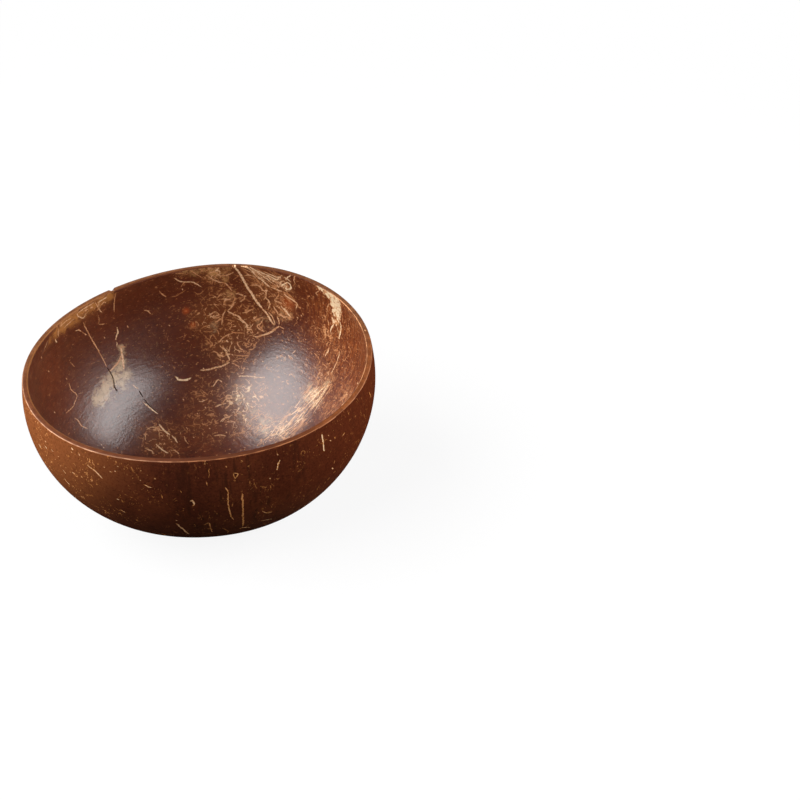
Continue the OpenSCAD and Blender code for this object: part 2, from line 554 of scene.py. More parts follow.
# %% The web of strands at the back right
WEB_STRANDS = [
    (1.05, 0.74, (234, 265), (238, 271), (243, 279), (247, 287), (252, 294), (257, 302), (262, 308)),
    (0.80, 0.70, (262, 308), (266, 313), (270, 319), (274, 325)),
    (0.78, 0.75, (241, 266), (248, 268), (253, 272), (257, 277), (262, 280), (266, 284), (270, 287)),
    (0.65, 0.65, (270, 287), (278, 290), (283, 292)),
    (0.65, 0.65, (284, 294), (289, 298), (294, 301), (297, 304), (296, 309)),
    (0.68, 0.80, (250, 267), (255, 270), (260, 274), (264, 277), (268, 280), (272, 283)),
    (0.68, 0.82, (256, 270), (262, 273), (267, 275), (271, 277), (275, 279), (280, 280)),
    (0.60, 0.76, (264, 276), (268, 277), (271, 280), (275, 282)),
    (0.60, 0.78, (268, 274), (272, 275), (276, 277), (280, 277), (281, 279)),
    (0.65, 0.82, (284, 277), (287, 279), (291, 282)),
    (0.59, 0.80, (285, 280), (288, 277), (291, 275)),
    (0.59, 0.60, (295, 276), (294, 280), (295, 284)),
    (0.65, 0.85, (281, 287), (284, 284), (288, 283), (291, 286), (290, 289), (286, 289), (287, 286)),
    (0.52, 0.70, (278, 288), (280, 285), (281, 282), (285, 281)),
    (0.52, 0.76, (291, 291), (287, 291), (284, 290)),
    (0.59, 0.60, (251, 286), (255, 285), (259, 286), (262, 289), (264, 291), (266, 292)),
    (0.59, 0.60, (267, 290), (266, 293), (266, 296), (265, 298), (264, 300)),
    (0.65, 0.60, (265, 298), (268, 300), (270, 304), (269, 307), (268, 310)),
    (0.52, 0.50, (268, 297), (272, 296), (275, 297)),
    (0.52, 0.50, (275, 299), (279, 295), (278, 292)),
    (0.59, 0.60, (275, 301), (279, 302), (283, 304)),
    (0.59, 0.60, (273, 306), (275, 309), (277, 312), (278, 315)),
    (0.80, 0.70, (281, 306), (283, 308), (286, 311), (288, 314), (291, 317)),
    (0.65, 0.60, (278, 315), (281, 315), (284, 317), (289, 317)),
    (0.65, 0.60, (277, 316), (279, 321), (279, 325)),
    (0.65, 0.60, (268, 312), (272, 316), (274, 321), (275, 325)),
    (0.72, 0.60, (279, 326), (274, 330), (269, 333), (263, 335), (258, 337), (253, 336)),
    (0.59, 0.50, (279, 326), (284, 329)),
    (0.59, 0.55, (263, 320), (260, 324), (257, 326), (261, 330), (265, 332)),
    (0.52, 0.50, (252, 319), (255, 321), (256, 320), (260, 318), (264, 317)),
    (0.52, 0.50, (251, 328), (252, 331), (253, 335)),
    (0.72, 0.65, (227, 311), (233, 314), (238, 316), (241, 319), (245, 323), (249, 326)),
    (0.65, 0.60, (226, 311), (223, 315), (222, 320), (222, 325)),
    (0.65, 0.60, (228, 311), (231, 308), (233, 304), (236, 302)),
    (0.65, 0.60, (235, 294), (240, 294), (244, 296), (247, 296)),
    (0.59, 0.60, (245, 296), (243, 300), (239, 302)),
    (0.59, 0.50, (242, 304), (241, 306), (239, 308)),
    (0.59, 0.55, (242, 313), (247, 312), (253, 309)),
    (0.52, 0.45, (234, 312), (238, 312)),
    (0.52, 0.45, (224, 319), (229, 320), (232, 321), (235, 321)),
    (0.52, 0.45, (231, 332), (238, 333), (245, 333)),
    (0.59, 0.55, (233, 333), (228, 335), (224, 337), (220, 341), (217, 344)),
    (0.78, 0.65, (220, 346), (225, 350), (227, 354), (230, 360)),
    (0.72, 0.65, (200, 370), (207, 370), (214, 368), (222, 366), (230, 362)),
    (0.59, 0.50, (231, 363), (236, 365), (240, 367)),
    (0.52, 0.45, (231, 362), (238, 359), (243, 358)),
    (0.59, 0.50, (212, 352), (216, 352), (219, 355), (220, 358)),
    (0.59, 0.60, (237, 341), (238, 345), (241, 349), (243, 349)),
    (0.52, 0.50, (245, 345), (248, 347), (251, 345), (252, 343)),
    (0.59, 0.50, (248, 350), (253, 349), (255, 345), (257, 342)),
    (0.52, 0.45, (234, 355), (243, 356), (249, 355)),
    (0.59, 0.55, (260, 352), (262, 353)),
    (0.59, 0.50, (252, 361), (255, 363)),
    (0.52, 0.45, (268, 339), (270, 341)),
    (0.52, 0.45, (238, 276), (233, 280)),
    (0.52, 0.50, (233, 265), (231, 269)),
    (0.50, 0.65, (244, 276), (248, 275), (253, 276), (256, 278)),
    (0.50, 0.72, (271, 280), (275, 280), (279, 278), (282, 275)),
]
print(len(WEB_STRANDS), "strands in the web")

# %% Strands on the right and on the floor
RIGHT_STRANDS = [
    (0.60, 0.80, (334, 324), (331, 329), (331, 334)),
    (0.60, 0.80, (340, 322), (341, 328), (340, 334), (339, 339)),
    (0.40, 0.60, (337, 327), (338, 331)),
    (0.45, 0.65, (319, 291), (316, 293), (318, 296)),
    (0.50, 0.60, (329, 303), (327, 309), (328, 312)),
    (0.45, 0.55, (328, 320), (329, 326)),
    (0.40, 0.50, (313, 320), (315, 324)),
    (0.40, 0.45, (314, 333), (318, 338)),
    (0.40, 0.45, (320, 330), (324, 335)),
    (0.90, 0.65, (329, 347), (328, 351), (325, 356)),
    (0.45, 0.65, (340, 350), (339, 355), (337, 361), (334, 368), (331, 374)),
    (0.45, 0.50, (314, 353), (318, 357), (319, 360)),
    (0.45, 0.65, (292, 354), (296, 350)),
    (0.45, 0.70, (238, 376), (245, 376), (255, 377), (265, 378)),
    (0.40, 0.60, (232, 398), (238, 398), (244, 398)),
    (0.50, 0.75, (327, 388), (322, 396), (317, 403), (311, 410)),
    (0.45, 0.60, (323, 398), (319, 404), (313, 413)),
    (0.45, 0.60, (301, 400), (297, 405), (294, 408)),
    (0.45, 0.65, (308, 408), (304, 414), (300, 420), (296, 425), (291, 430)),
    (0.45, 0.60, (345, 402), (341, 406)),
    (0.40, 0.50, (347, 393), (343, 398), (338, 402)),
    (0.40, 0.55, (332, 383), (329, 390), (325, 396)),
    (0.45, 0.60, (288, 355), (293, 359)),
    (0.50, 0.70, (293, 426), (297, 422), (302, 418)),
    (0.45, 0.65, (271, 435), (274, 430), (277, 426)),
    (0.45, 0.70, (274, 436), (278, 431), (280, 426)),
    (0.50, 0.75, (278, 436), (283, 430), (287, 424)),
    (0.45, 0.70, (282, 435), (287, 430), (294, 426)),
    (0.40, 0.55, (262, 440), (268, 438), (271, 433)),
    (0.45, 0.65, (323, 388), (327, 386), (330, 381)),
    (0.45, 0.60, (225, 398), (228, 398), (230, 401), (229, 406), (225, 409)),
    (0.45, 0.65, (237, 411), (240, 412), (244, 411), (243, 409)),
    (0.45, 0.60, (220, 422), (223, 419), (228, 417), (233, 415)),
    (0.45, 0.60, (226, 422), (230, 421), (236, 422)),
    (0.45, 0.65, (245, 389), (250, 387), (253, 385)),
    (0.45, 0.65, (243, 386), (246, 389), (248, 389)),
    (0.40, 0.55, (232, 387), (237, 386), (242, 387)),
    (0.40, 0.55, (245, 379), (248, 381), (249, 383)),
    (0.40, 0.60, (253, 391), (255, 395)),
    (0.40, 0.60, (237, 406), (239, 403), (243, 401)),
    (0.40, 0.45, (230, 437), (238, 433), (245, 434)),
    (0.50, 0.80, (325, 386), (319, 392), (313, 399), (307, 405)),
    (0.45, 0.80, (320, 386), (315, 391), (309, 397)),
    (0.45, 0.75, (329, 384), (324, 391), (319, 398), (314, 404)),
    (0.45, 0.75, (314, 389), (310, 393), (305, 399)),
    (0.45, 0.80, (310, 397), (315, 395), (320, 391)),
]
FLOOR_STRANDS = [
    (0.78, 0.85, (175, 376), (178, 379), (182, 380), (186, 380), (191, 378)),
    (0.65, 0.85, (143, 402), (149, 407), (154, 411), (158, 414)),
    (0.59, 0.70, (133, 385), (138, 389)),
    (0.78, 0.80, (159, 424), (162, 428), (166, 432), (170, 435)),
    (0.65, 0.75, (172, 435), (175, 439), (178, 443)),
    (0.52, 0.65, (169, 435), (169, 440)),
    (0.52, 0.60, (146, 430), (150, 428), (154, 427), (157, 428), (159, 432), (159, 437)),
    (0.52, 0.60, (146, 433), (145, 440)),
    (0.72, 0.75, (156, 444), (160, 448), (164, 451), (168, 453)),
    (0.59, 0.65, (145, 448), (149, 450), (152, 451), (153, 454)),
    (0.59, 0.65, (171, 451), (174, 450), (177, 452), (179, 454)),
    (0.52, 0.55, (186, 427), (188, 430)),
    (0.52, 0.55, (181, 432), (180, 435)),
    (0.52, 0.60, (184, 436), (186, 441), (189, 444)),
    (0.59, 0.65, (199, 401), (203, 401), (208, 399)),
    (0.59, 0.65, (213, 387), (216, 382), (218, 380), (222, 382)),
    (0.59, 0.65, (215, 407), (220, 405), (226, 403)),
    (0.52, 0.60, (222, 422), (225, 418), (224, 415)),
    (0.52, 0.60, (214, 436), (220, 435), (226, 436)),
]
print(len(RIGHT_STRANDS) + len(FLOOR_STRANDS), "strands on the right and on the floor")

# %% Strands on the outside
OUTER_STRANDS = [
    (1.00, 0.85, (39, 444), (41, 448)),
    (0.80, 0.80, (45, 446), (47, 449)),
    (0.70, 0.75, (51, 449), (53, 452)),
    (0.95, 0.85, (71, 447), (73, 450)),
    (0.60, 0.65, (78, 452), (80, 456)),
    (0.45, 0.70, (87, 465), (91, 468), (95, 471), (100, 476), (103, 479)),
    (0.55, 0.65, (92, 462), (95, 466)),
    (0.80, 0.75, (63, 470), (66, 474)),
    (0.75, 0.75, (64, 478), (67, 482), (70, 485)),
    (0.70, 0.65, (72, 485), (75, 488)),
    (0.75, 0.65, (72, 472), (75, 474)),
    (1.10, 0.80, (117, 499), (119, 500)),
    (0.65, 0.65, (121, 510), (126, 513)),
    (0.40, 0.45, (128, 485), (130, 487)),
    (0.50, 0.75, (143, 484), (147, 486), (152, 488)),
    (0.50, 0.70, (190, 501), (192, 500), (194, 503), (194, 505), (192, 506)),
    (0.70, 0.65, (176, 523), (179, 526), (183, 529), (186, 532), (189, 534)),
    (0.45, 0.55, (204, 525), (209, 523), (211, 529), (212, 532)),
    (0.45, 0.55, (206, 482), (208, 486)),
    (0.35, 0.40, (209, 468), (209, 478)),
    (0.40, 0.65, (205, 461), (205, 465)),
    (0.45, 0.55, (225, 487), (228, 492), (228, 500), (229, 508), (231, 516), (234, 520)),
    (0.40, 0.40, (233, 502), (232, 507)),
    (0.45, 0.55, (233, 473), (238, 474), (235, 478), (233, 473)),
    (0.40, 0.45, (161, 494), (163, 499)),
    (0.45, 0.45, (166, 503), (168, 505)),
    (0.45, 0.50, (180, 490), (182, 493)),
    (0.55, 0.70, (280, 460), (278, 465), (277, 470)),
    (0.55, 0.85, (322, 434), (323, 442), (324, 452)),
    (0.50, 0.65, (333, 430), (334, 431)),
    (0.80, 0.45, (335, 437), (335, 439)),
    (0.50, 0.60, (345, 432), (342, 437)),
    (0.65, 0.50, (242, 493), (243, 505), (243, 515), (243, 526)),
    (0.35, 0.45, (250, 481), (250, 486)),
    (0.35, 0.45, (270, 485), (271, 489)),
    (0.50, 0.60, (262, 511), (267, 513), (272, 512)),
    (0.40, 0.45, (334, 464), (335, 460)),
    (0.40, 0.45, (333, 473), (336, 471)),
    (0.45, 0.50, (369, 392), (371, 397)),
]
INNER_DOTS = [
    (48, 371), (54, 412), (101, 444), (103, 447), (189, 321), (182, 289), (169, 325), (203, 368), (205, 407),
    (197, 413), (183, 399), (357, 383), (365, 330), (297, 317), (301, 315), (85, 334), (41, 357), (66, 378),
    (127, 326), (104, 337), (246, 339), (232, 354), (262, 361), (226, 432), (209, 428), (193, 437),
    (322, 317),
]
OUTER_DOTS = [
    (115, 461), (117, 466), (124, 469), (115, 471), (110, 471), (104, 467), (51, 465), (65, 467), (58, 456),
    (88, 477), (71, 452), (140, 480), (154, 478), (140, 470), (328, 435), (330, 440), (277, 454), (241, 460),
    (226, 466), (176, 520), (332, 468), (270, 478), (45, 441), (55, 459), (61, 474), (60, 465), (75, 480),
    (80, 490),
]
DOT_WIDTH = 0.9
DOT_PALENESS = 0.66
dots = [(DOT_WIDTH, DOT_PALENESS, (x, y), (x + 1, y + 1)) for x, y in INNER_DOTS + OUTER_DOTS]
print(len(OUTER_STRANDS), "strands outside and", len(dots), "dots")

# %% [markdown]
# A course runs through its places as a chain of Bezier curves, each with handles that point from the
# place before to the place after, and is then laid onto the wall step by step.

# %% Lay each course on the wall
STEP = 0.4 * MM


class Course:
    """A strand's way over the wall: its places, the way the wall faces there, its width and paleness."""

    def __init__(self, width, paleness, points):
        found = [wall.find_nearest(point)[:2] for point in points]
        self.width = width
        self.paleness = paleness
        self.places = [place for place, _ in found]
        self.facings = [facing for _, facing in found]
        self.array = np.array(self.places)


def chain(stops):
    """Points on a smooth curve through some stops, about a step apart."""
    points = [stops[0]]
    for k in range(len(stops) - 1):
        start, end = stops[k], stops[k + 1]
        before = stops[max(k - 1, 0)]
        after = stops[min(k + 2, len(stops) - 1)]
        steps = max(2, math.ceil((end - start).length / STEP) + 1)
        curve = interpolate_bezier(start, start + (end - before) / 6, end - (after - start) / 6, end, steps)
        points += curve[1:]
    return points


def traced(rows):
    courses = []
    for width, paleness, *pixels in rows:
        courses.append(Course(width * MM, paleness, chain([spot(pixel)[0] for pixel in pixels])))
    return courses


courses = []
for rows in (WEB_STRANDS, LEFT_STRANDS, BACK_STRANDS, RIGHT_STRANDS, FLOOR_STRANDS, OUTER_STRANDS, dots):
    courses += traced(rows)
length = sum(STEP * len(course.places) for course in courses)
print(len(courses), "strands laid, about", round(length / MM), "mm of them")

# %% [markdown]
# The back of the bowl and the wall below the front rim don't show in the picture. A nut looks alike all
# round, so strands wander there at random from a fixed seed: short ones, each bending a little at every
# step. A row holds how many there are, their distance from the axis, and the turns in degrees and the
# heights between which they start: on the back, low on the outside, and inside below the front rim.

# %% Let strands wander where the picture doesn't reach
dice = random.Random(11)
WANDER_BEND = 0.045
WANDER_TURN = 0.13
WANDER_WIDTHS = (0.35, 0.6)
WANDER_LENGTHS = (1.2, 11, 2.4)
WANDER_PALENESS = (0.4, 0.75)
SCATTERED = [
    (70, 75 * MM, (5, 175), (6 * MM, 66 * MM)),
    (24, 75 * MM, (-180, 0), (2 * MM, 14 * MM)),
    (36, 40 * MM, (-160, -20), (30 * MM, 56 * MM)),
]


def wander(start, length, width, paleness):
    place, facing, _, _ = wall.find_nearest(start)
    heading = facing.orthogonal()
    heading.rotate(Quaternion(facing, dice.uniform(0, 2 * math.pi)))
    bend = dice.uniform(-WANDER_BEND, WANDER_BEND)
    points = [place]
    for _ in range(round(length / STEP)):
        heading.rotate(Quaternion(facing, bend + dice.uniform(-WANDER_TURN, WANDER_TURN)))
        place, facing, _, _ = wall.find_nearest(place + STEP * heading)
        heading = (heading - heading.dot(facing) * facing).normalized()
        points.append(place)
    return Course(width, paleness, points)


traced_count = len(courses)
for count, radius, turns, heights in SCATTERED:
    for _ in range(count):
        turn = math.radians(dice.uniform(*turns))
        start = Vector((radius * math.cos(turn), radius * math.sin(turn), dice.uniform(*heights)))
        width = dice.uniform(*WANDER_WIDTHS) * MM
        length = dice.triangular(*WANDER_LENGTHS) * MM
        courses.append(wander(start, length, width, dice.uniform(*WANDER_PALENESS)))
print(len(courses) - traced_count, "strands wander")

# %% [markdown]
# ## Strands as attributes
# A line as thin as a strand needs either a very dense mesh or a clever attribute. Here each point near a
# strand stores how far to the side of it the point lies. That number runs evenly through zero on the
# strand, so a shader can draw a crisp line between points that are further apart than the line is wide.
# Strands that lie close together would mix their numbers, so they are dealt out over several layers.
# First the faces near strands are subdivided.

# %% Subdivide the wall along the strands
REACH = 1.3 * MM
LONG_EDGE = 0.6 * MM


def point_tree():
    """The shell's points, sorted so that those within reach of a place are found fast."""
    tree = KDTree(len(shell_body.data.vertices))
    for vertex in shell_body.data.vertices:
        tree.insert(vertex.co, vertex.index)
    tree.balance()
    return tree


def subdivide_near(courses, reach, long_edge=0.0):
    """Splits the faces within reach of some courses, if their longest edge is long enough."""
    near = np.zeros(len(shell_body.data.vertices), bool)
    tree = point_tree()
    for course in courses:
        for place in course.places:
            near[[index for _, index, _ in tree.find_range(place, reach)]] = True

    def to_split(face):
        if not any(near[v.index] for v in face.verts):
            return False
        return max(edge.calc_length() for edge in face.edges) > long_edge

    activate(shell_body)
    bpy.ops.object.mode_set(mode="EDIT")
    select(shell_body, "FACE", to_split)
    bpy.ops.mesh.subdivide(number_cuts=1, ngon=False)
    bpy.ops.object.mode_set(mode="OBJECT")


subdivide_near(courses, REACH, LONG_EDGE)
print("subdivided to", len(shell_body.data.polygons), "faces")

# %% Deal the strands out over layers
LAYER_GAP = 2 * REACH + LONG_EDGE


def clear(course, other):
    away = np.linalg.norm(course.array[:, None] - other.array[None], axis=2)
    return away.min() > LAYER_GAP


layers = []
for course in courses:
    for layer in layers:
        if all(clear(course, other) for other in layer):
            layer.append(course)
            break
    else:
        layers.append([course])
print("strands per layer:", [len(layer) for layer in layers])

# %% Store the layers on the mesh
NO_STRAND = -4.0
SAME_SIDE = 0.5
TAPER = 2.2 * MM
TIP = 0.45


def half_width(course, k):
    """Half of a strand's width at one of its places, in mm: it tapers towards both ends."""
    from_end = min(k, len(course.places) - 1 - k) * STEP
    full = min(1, TIP + (1 - TIP) * from_end / TAPER)
    return course.width / 2 * full / MM


def store(name, values):
    """Stores one number, or a row of three, at each point of the shell."""
    kind, field = ("FLOAT", "value") if values.ndim == 1 else ("FLOAT_VECTOR", "vector")
    attribute = shell_body.data.attributes.new(name, kind, "POINT")
    attribute.data.foreach_set(field, values.ravel())


def store_layer(name, layer):
    """How far a point lies to the side of the nearest strand, that strand's half width and its paleness.
    Beyond a strand's end the half width shrinks, so that the end comes out round."""
    values = np.zeros((len(facings), 3), np.float32)
    values[:, 1] = NO_STRAND
    nearest = np.full(len(facings), REACH)
    for course in layer:
        last = len(course.places) - 1
        for k, (place, facing) in enumerate(zip(course.places, course.facings)):
            along = (course.places[min(k + 1, last)] - course.places[max(k - 1, 0)]).normalized()
            side = facing.cross(along)
            for corner, index, away in tree.find_range(place, REACH):
                if away < nearest[index] and facings[index].dot(facing) > SAME_SIDE:
                    nearest[index] = away
                    step = corner - place
                    past = max(0, step.dot(along) if k == last else -step.dot(along) if k == 0 else 0)
                    half = half_width(course, k) - past / MM
                    values[index] = (step.dot(side) / MM, half, course.paleness)
    store(name, values)


tree = point_tree()
facings = [vertex.normal.copy() for vertex in shell_body.data.vertices]
layer_names = [f"strands_{k}" for k in range(len(layers))]
for name, layer in zip(layer_names, layers):
    store_layer(name, layer)
print("stored", ", ".join(layer_names))

# %% [markdown]
# ## Stains, clouds and tangles
# Where the husk grew deeper, the strands merge into cream stains and paler clouds. Over the web the wall
# holds a tangle of finer fibres, in the web and on the right lie bundles of fibres that all run one way,
# and at the back a few spots glow red like embers. All are dabbed on like paint: each dab is a pixel, a
# radius in millimetres and a strength. A stain stores its depth, so that its edge can be crisp. The
# others store a strength that fades towards the dab's edge.

# %% Where the dabs lie
STAIN_DABS = [
    (314, 281, 1.5, 0.80), (321, 286, 2.4, 0.90), (328, 292, 3.5, 1.00), (334, 299, 4.3, 1.00),
    (336, 307, 3.8, 1.00), (336, 314, 2.9, 0.95), (335, 321, 1.9, 0.85), (290, 317, 1.4, 0.50),
    (278, 431, 1.1, 0.60), (283, 428, 1.2, 0.65), (290, 424, 1.1, 0.60), (312, 399, 1.1, 0.70),
    (317, 393, 1.0, 0.70), (322, 388, 1.0, 0.70),
]
CLOUD_DABS = [
    (122, 348, 3, 0.9), (122, 355, 3, 0.9), (122, 362, 4, 1.0), (119, 369, 5, 1.0), (126, 376, 5, 0.9),
    (116, 377, 6, 1.0), (111, 382, 6, 1.0), (105, 388, 6, 1.0), (101, 394, 6, 1.0), (98, 400, 6, 1.0),
    (106, 396, 5, 0.8), (121, 384, 5, 0.7), (50, 340, 5, 0.6), (57, 332, 6, 0.9), (63, 326, 7, 1.0),
    (69, 321, 7, 1.0), (76, 317, 7, 1.0), (84, 311, 6, 0.9), (93, 306, 6, 0.9), (102, 300, 6, 1.0),
    (109, 297, 5, 1.0), (185, 270, 6, 0.5), (196, 271, 6, 0.6), (206, 269, 6, 0.55), (214, 273, 7, 0.65),
    (223, 278, 5, 0.5), (226, 270, 6, 0.5), (231, 294, 5, 0.45), (252, 269, 7, 0.12), (264, 274, 8, 0.12),
    (275, 279, 8, 0.12), (286, 284, 7, 0.2), (272, 296, 8, 0.12), (286, 316, 6, 0.45), (262, 316, 9, 0.3),
    (216, 328, 5, 0.5), (240, 398, 10, 0.4), (250, 415, 10, 0.4), (264, 426, 9, 0.5), (282, 430, 10, 0.4),
    (312, 397, 9, 0.75), (326, 384, 7, 0.5), (337, 321, 4, 0.55), (339, 331, 4, 0.45),
]
TANGLE_DABS = [
    (264, 290, 16, 0.7), (280, 305, 13, 0.7), (245, 325, 18, 0.8), (222, 300, 16, 0.7), (228, 345, 18, 0.8),
    (208, 318, 15, 0.8), (215, 272, 12, 0.9), (90, 308, 12, 0.7), (62, 322, 9, 0.6), (240, 372, 14, 0.7),
    (244, 398, 18, 1.0), (240, 418, 14, 0.9), (282, 428, 12, 0.6), (312, 396, 10, 0.6), (160, 440, 17, 0.75),
    (205, 425, 20, 0.55), (326, 335, 13, 0.6), (325, 372, 13, 0.7), (345, 400, 11, 0.7), (205, 395, 16, 0.5),
]
WEB_DABS = [
    (252, 272, 10, 0.9), (265, 277, 12, 1.0), (278, 284, 11, 1.0), (285, 295, 9, 0.8), (282, 308, 9, 0.7),
]
BUNDLE_DABS = [
    (256, 424, 13, 0.7), (270, 432, 12, 0.9), (284, 429, 12, 1.0), (298, 416, 11, 1.0), (313, 398, 11, 1.0),
    (326, 383, 10, 0.8), (345, 395, 10, 0.6), (338, 350, 10, 0.5), (330, 410, 10, 0.6),
]
EMBER_DABS = [(186, 311, 2.2, 1.0), (193, 325, 2.0, 0.9), (288, 303, 5.0, 0.5)]
soft_dabs = {
    "clouds": CLOUD_DABS,
    "tangles": TANGLE_DABS,
    "web": WEB_DABS,
    "bundle": BUNDLE_DABS,
    "embers": EMBER_DABS,
}
print(len(STAIN_DABS), "dabs of stain and", sum(map(len, soft_dabs.values())), "softer ones")

# %% Dab them on
STAIN_REACH = 6.0
WEB_RUN = ((249, 268), (283, 291))
BUNDLE_RUN = ((293, 426), (318, 402))


def dab_places(dabs):
    for x, y, radius, strength in dabs:
        place, facing = spot((x, y))
        yield place, facing, radius, strength


def store_stains(name, dabs):
    """Depth inside the nearest stain in mm, below zero outside, and that stain's strength."""
    values = np.zeros((len(facings), 3), np.float32)
    values[:, 0] = -STAIN_REACH
    for place, facing, radius, strength in dab_places(dabs):
        for _, index, away in tree.find_range(place, (radius + STAIN_REACH) * MM):
            depth = radius - away / MM
            if depth > values[index, 0] and facings[index].dot(facing) > 0:
                values[index] = (depth, strength, 0)
    store(name, values)


def store_soft(name, dabs):
    """The strength of the strongest dab at each point, fading to 0 at the dab's edge."""
    values = np.zeros(len(facings), np.float32)
    for place, facing, radius, strength in dab_places(dabs):
        for _, index, away in tree.find_range(place, radius * MM):
            if facings[index].dot(facing) > 0:
                share = 1 - away / (radius * MM)
                values[index] = max(values[index], strength * share * share * (3 - 2 * share))
    store(name, values)


def run_turn(pixels):
    """The turn that lays a pattern's own X axis along the wall from one pixel to another."""
    start, end = (spot(pixel)[0] for pixel in pixels)
    return (end - start).to_track_quat("X", "Z").to_euler()


wall = wall_of(shell_body)
store_stains("stains", STAIN_DABS)
for name, dabs in soft_dabs.items():
    store_soft(name, dabs)
web_turn = run_turn(WEB_RUN)
bundle_turn = run_turn(BUNDLE_RUN)
print("stored stains,", ", ".join(soft_dabs))

# %% [markdown]
# ## The cracks
# Three hairline cracks run into the hollow's left side. They are real grooves: the wall along them is
# subdivided finely and its points are pressed in, deepest in the middle. A row is written like a
# strand's.

# %% Press in the cracks
CRACKS = [
    (0.36, 1.0, (107, 368), (110, 372), (113, 378), (114, 383), (115, 388), (118, 392)),
    (0.46, 1.0, (139, 391), (141, 394), (143, 397)),
    (0.22, 1.0, (144, 399), (148, 404), (153, 409), (158, 413)),
]
CRACK_DEPTH = 0.3 * MM
CRACK_SPLITS = 2
cracks = traced(CRACKS)
for _ in range(CRACK_SPLITS):
    subdivide_near(cracks, REACH / 2)
tree = point_tree()
facings = [vertex.normal.copy() for vertex in shell_body.data.vertices]
store_layer("cracks", cracks)
stored_cracks = shell_body.data.attributes["cracks"].data
for vertex, cell, facing in zip(shell_body.data.vertices, stored_cracks, facings):
    aside, half, _ = cell.vector
    if half > abs(aside):
        vertex.co -= CRACK_DEPTH * (1 - (aside / half) ** 2) * facing
print(len(cracks), "cracks pressed in; the shell has", len(shell_body.data.polygons), "faces")

# %% [markdown]
# ## Three finishes
# The strands run through the whole wall, so one set of masks serves every finish. Each mask is a grey
# value, and the palest of them wins. The marks could be painted in an image instead, but masks made of
# noise and stored numbers stay sharp at any distance and need no file. Curly fibres are the lines on
# which a noise passes its middle value, as contour lines on a map mark one height. A pattern's value
# holds the size of its spots, its detail and its roughness. A value for curls holds the size and thinness
# of their lines, and the size and limits of the gaps between them.

# %% Masks for strands, stains and clouds
WOBBLE = (1.3 * MM, 3.0)
WOBBLE_WIDTH = 0.8
BEADS = (0.8 * MM, 2.0)
BEADS_WIDTH = 0.35
STRAND_WEAR = (0.7 * MM, 3.0, 0.6)
EDGE = 0.13
STAIN_FIBRES = (0.8 * MM, 3.0, 0.6)
STAIN_TURN = (0.0, 0.0, math.radians(50))
STAIN_CLOUD = (2.2 * MM, 4.0, 0.65)
STAIN_WEAR = (1.5 * MM, 3.0, 0.6)
STAIN_RAGGED = 4.5
STAIN_SHRINK = 4.7
CLOUD_MOTTLE = (2.6 * MM, 4.0, 0.6)
CLOUD_VEINS = (2.4 * MM, 0.06)
CURL = (1.0, 0.5, 0.7)


def strand_mask(recipe, place):
    """The strands of all layers. A little noise pushes each line to and fro, and thins it in places."""
    wobble = recipe.times(recipe.swing(place, *WOBBLE), WOBBLE_WIDTH)
    beads = recipe.times(recipe.swing(place, *BEADS), BEADS_WIDTH)
    pale = 0.0
    for name in layer_names:
        aside, half, paleness = recipe.stored(name)
        away = recipe.math("ABSOLUTE", recipe.math("ADD", aside, wobble))
        inside = recipe.math("SUBTRACT", recipe.math("ADD", half, beads), away)
        pale = recipe.largest(pale, recipe.times(recipe.fit(inside, -EDGE, EDGE), paleness))
    patchy = recipe.fit(recipe.noise(place, *STRAND_WEAR), 0.32, 0.55, 0.6, 1.05)
    return recipe.times(pale, patchy)


def stain_mask(recipe, place):
    """The stains: broken into fibres that all run one way, with a ragged edge and thin spots."""
    depth, paleness, _ = recipe.stored("stains")
    fibres = recipe.noise(recipe.stretched(place, (6, 1, 2), STAIN_TURN), *STAIN_FIBRES)
    cloud = recipe.noise(place, *STAIN_CLOUD)
    ragged = recipe.times(recipe.math("ADD", fibres, cloud), STAIN_RAGGED)
    depth = recipe.math("ADD", depth, recipe.math("SUBTRACT", ragged, STAIN_SHRINK))
    patchy = recipe.fit(recipe.noise(place, *STAIN_WEAR), 0.38, 0.54, 0.55, 1.0)
    return recipe.times(recipe.fit(depth, -0.9, 1.0), paleness, patchy)


def curl_lines(recipe, place, size, thin):
    """Thin curly lines, where a noise passes its middle value."""
    from_middle = recipe.math("ABSOLUTE", recipe.swing(place, size, *CURL))
    return recipe.fit(from_middle, thin, 0.0)


def cloud_mask(recipe, place):
    """The pale clouds: soft at the edge, a little mottled and veined with darker lines."""
    mottled = recipe.times(recipe.swing(place, *CLOUD_MOTTLE), 1.4)
    veins = recipe.times(curl_lines(recipe, place, *CLOUD_VEINS), 0.28)
    level = recipe.math("SUBTRACT", recipe.math("ADD", recipe.strength("clouds"), mottled), veins)
    return recipe.fit(level, 0.1, 1.0, 0.0, 0.85)


print("masks for", len(layer_names), "layers of strands, for stains and for clouds")


# %% Masks for the finer fibres and flecks
WIDE_CURLS = (5.5 * MM, 0.034, 3.1 * MM, 0.44, 0.54)
CLOSE_CURLS = (3.2 * MM, 0.05, 1.7 * MM, 0.47, 0.56)
THICK_FIBRES = (1.9 * MM, 0.06)
THIN_FIBRES = (1.2 * MM, 0.06, 1.3 * MM, 0.42, 0.56)
SHORT_FIBRES = (2.3 * MM, 0.05, 1.2 * MM, 0.53, 0.61)
SMALL_FLECKS = (0.6 * MM, 1.0)
LARGE_FLECKS = (1.2 * MM, 2.0, 0.6, 0.8)


def broken_lines(recipe, place, size, thin, gaps, low, high):
    """Curly lines, cut into short pieces where a second noise, of the gaps' size, is low."""
    pieces = recipe.fit(recipe.noise(place, gaps), low, high)
    return recipe.times(curl_lines(recipe, place, size, thin), pieces)


